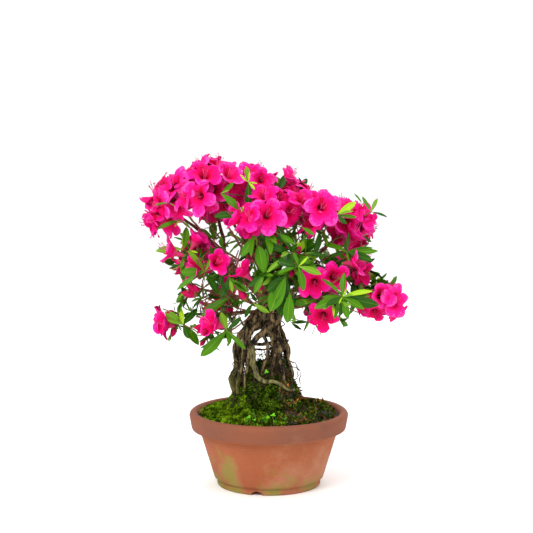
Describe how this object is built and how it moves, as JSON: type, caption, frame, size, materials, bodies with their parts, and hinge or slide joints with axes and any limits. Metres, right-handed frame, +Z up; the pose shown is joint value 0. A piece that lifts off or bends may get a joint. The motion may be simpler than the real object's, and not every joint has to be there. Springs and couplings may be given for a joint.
{
  "type": "azalea bonsai",
  "caption": "Exposed-root azalea bonsai in full pink bloom: bared roots stand on a moss mound and carry spreading limbs of flowers and leaves, in a shallow round terracotta pot.",
  "frame": {"origin": "on the ground under the middle of the pot", "axes": "+Z up; the tree's front faces -Y, with its longer low limb towards +X"},
  "size_m": [0.299, 0.2228, 0.3723],
  "materials": {
    "terracotta": "matte",
    "moss": "matte",
    "bark": "matte",
    "foliage": "satin"
  },
  "bodies": {
    "root": {"pot": "terracotta", "moss_mound": "moss", "trunk": "bark", "bough_left_tip": "bark", "bough_left_crest": "bark", "bough_left_side": "bark", "bough_low_left_tip": "bark", "bough_low_left_near": "bark", "bough_low_left_bud": "bark", "bough_middle_crest": "bark", "bough_front_face": "bark", "bough_right_crest": "bark", "bough_right_shoulder": "bark", "bough_right_middle": "bark", "bough_right_side": "bark", "bough_right_tip": "bark", "bough_low_right": "bark", "bough_middle_face": "bark", "bough_low_face": "bark", "bough_left_middle": "bark", "bough_back_middle": "bark", "bough_back_left_crest": "bark", "bough_back_left": "bark", "bough_back_right": "bark", "bough_back_right_crest": "bark", "bough_back_low_left": "bark", "bough_back_low_right": "bark", "mass_left_tip": "foliage", "mass_left_crest": "foliage", "mass_left_side": "foliage", "mass_low_left_tip": "foliage", "mass_low_left_near": "foliage", "mass_low_left_bud": "foliage", "mass_middle_crest": "foliage", "mass_front_face": "foliage", "mass_right_crest": "foliage", "mass_right_shoulder": "foliage", "mass_right_middle": "foliage", "mass_right_side": "foliage", "mass_right_tip": "foliage", "mass_low_right": "foliage", "mass_middle_face": "foliage", "mass_low_face": "foliage", "mass_left_middle": "foliage", "mass_back_middle": "foliage", "mass_back_left_crest": "foliage", "mass_back_left": "foliage", "mass_back_right": "foliage", "mass_back_right_crest": "foliage", "mass_back_low_left": "foliage", "mass_back_low_right": "foliage"}
  },
  "joints": []
}
